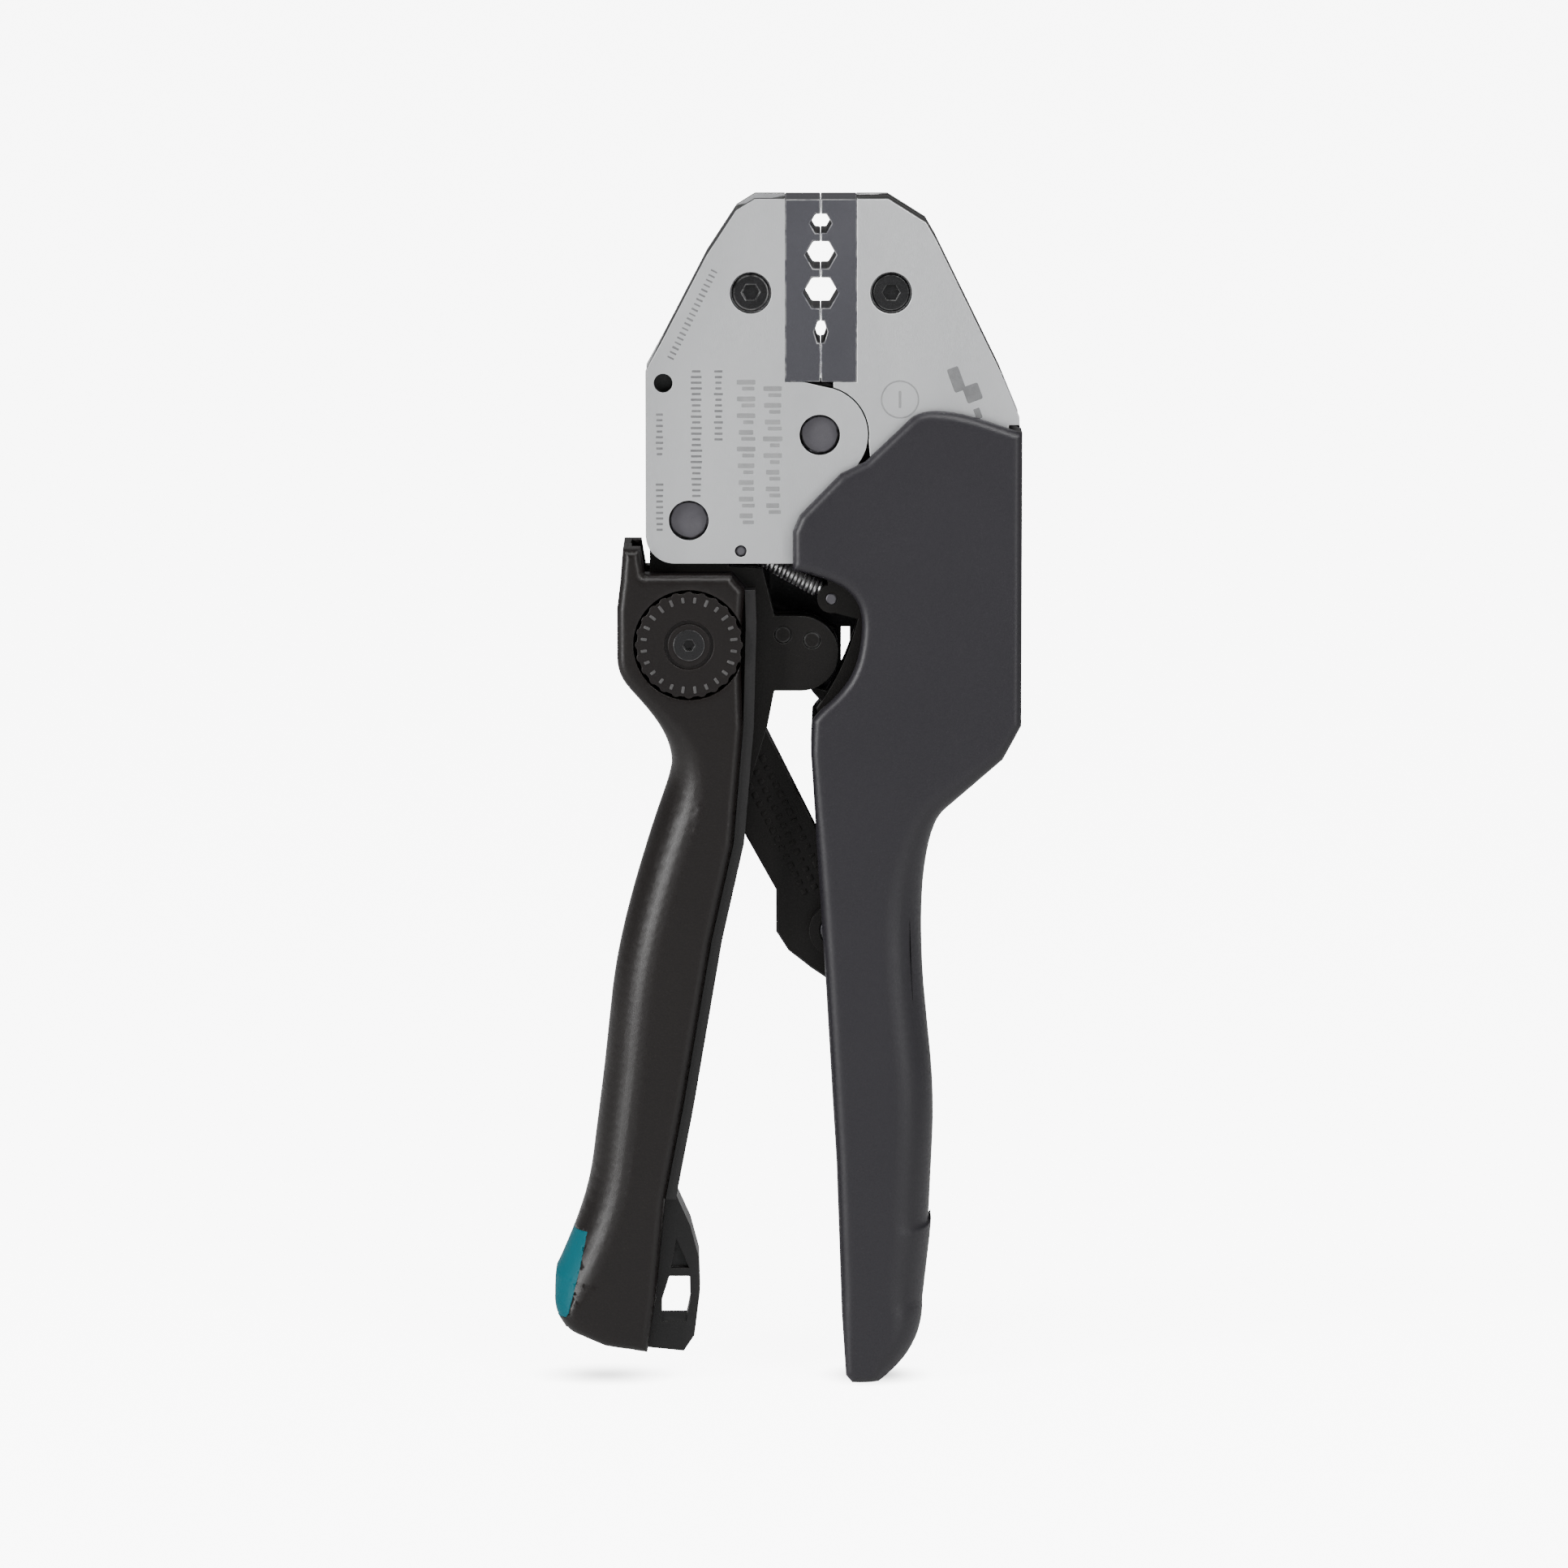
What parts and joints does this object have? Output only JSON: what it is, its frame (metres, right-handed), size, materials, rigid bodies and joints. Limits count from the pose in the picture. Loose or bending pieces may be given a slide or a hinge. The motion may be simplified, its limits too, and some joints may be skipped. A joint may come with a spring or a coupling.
{
  "type": "ratchet crimping tool",
  "caption": "Hand crimping tool with hexagonal dies, a ratchet, a toggle link, an adjusting wheel, a smooth fixed handle and a moving handle with a lanyard eye",
  "frame": {"origin": "centre of the closed tool in plan, at the tip of the fixed handle", "axes": "+Z from the grips to the jaws, +X from the moving handle to the fixed handle, +Y from the front face to the back face"},
  "size_m": [0.087, 0.022, 0.2218],
  "materials": {
    "jaw_steel": "satin nickel-plated steel plate",
    "core_steel": "plain oiled steel",
    "black_steel": "black oxide steel",
    "die_steel": "burnished dark steel",
    "screw_black": "black oxide",
    "pin_steel": "satin steel",
    "spring_steel": "bright spring wire",
    "cover_plastic": "matt dark grey moulding",
    "grip_plastic": "matt black-brown moulding",
    "inlay_plastic": "satin teal moulding"
  },
  "bodies": {
    "fixed_frame": {"frame_plate_front": "black_steel", "frame_plate_back": "black_steel", "fixed_cheek_front": "jaw_steel", "fixed_cheek_back": "jaw_steel", "fixed_die": "die_steel", "fixed_die_screw": "screw_black", "main_pivot_pin": "pin_steel", "frame_spacer_jaw": "core_steel", "frame_spacer_grip": "core_steel", "link_pin": "pin_steel", "pawl_pin": "pin_steel", "frame_spring_post": "pin_steel", "pawl_spring_post": "pin_steel", "jaw_rivets": "pin_steel", "grip_rivets": "pin_steel", "cover_front": "cover_plastic", "cover_back": "cover_plastic", "cover_screws": "screw_black", "return_spring": "spring_steel", "pawl_spring": "spring_steel"},
    "moving_jaw": {"moving_jaw_plate_front": "jaw_steel", "moving_jaw_plate_back": "jaw_steel", "moving_jaw_core": "core_steel", "moving_die": "die_steel", "moving_die_screw": "screw_black", "moving_jaw_dowels": "pin_steel", "handle_pivot_pin": "pin_steel", "jaw_spring_post": "pin_steel"},
    "moving_handle": {"handle_plate_front": "black_steel", "handle_plate_back": "black_steel", "handle_grip_front": "grip_plastic", "handle_grip_back": "grip_plastic", "handle_spine": "grip_plastic", "handle_spacer": "core_steel", "handle_rivets": "pin_steel", "ratchet_rivets": "pin_steel", "ratchet_sector": "black_steel", "grip_screws": "screw_black", "grip_inlay": "inlay_plastic"},
    "toggle_link_body": {"toggle_link": "black_steel"},
    "pawl_body": {"pawl": "black_steel"},
    "wheel_body": {"adjusting_wheel": "grip_plastic", "eccentric_bolt": "pin_steel", "wheel_lock_screw": "screw_black", "bolt_clip": "pin_steel"}
  },
  "joints": [
    {"name": "jaw_open", "type": "hinge", "parent": "fixed_frame", "child": "moving_jaw", "pos_m": [0.006, 0, 0.1782], "axis": [0, -1, 0], "range_deg": [0, 13], "deforming": ["return_spring"]},
    {"name": "handle_open", "type": "hinge", "parent": "moving_jaw", "child": "moving_handle", "pos_m": [-0.0182, 0, 0.1623], "axis": [0, 1, 0], "range_deg": [0, 38.4]},
    {"name": "link_turn", "type": "hinge", "parent": "fixed_frame", "child": "toggle_link_body", "pos_m": [0.009, 0, 0.085], "axis": [0, -1, 0], "range_deg": [0, 6.4]},
    {"name": "pawl_turn", "type": "hinge", "parent": "fixed_frame", "child": "pawl_body", "pos_m": [0.011, 0, 0.126], "axis": [0, -1, 0], "range_deg": [-20, 20]},
    {"name": "wheel_turn", "type": "hinge", "parent": "moving_handle", "child": "wheel_body", "pos_m": [-0.0182, 0, 0.1394], "axis": [0, -1, 0], "range_deg": [-120, 120]}
  ],
  "couplings": [
    {"joint": "handle_open", "follows": "jaw_open", "ratio": 2.944},
    {"joint": "link_turn", "follows": "jaw_open", "ratio": 0.4857}
  ]
}
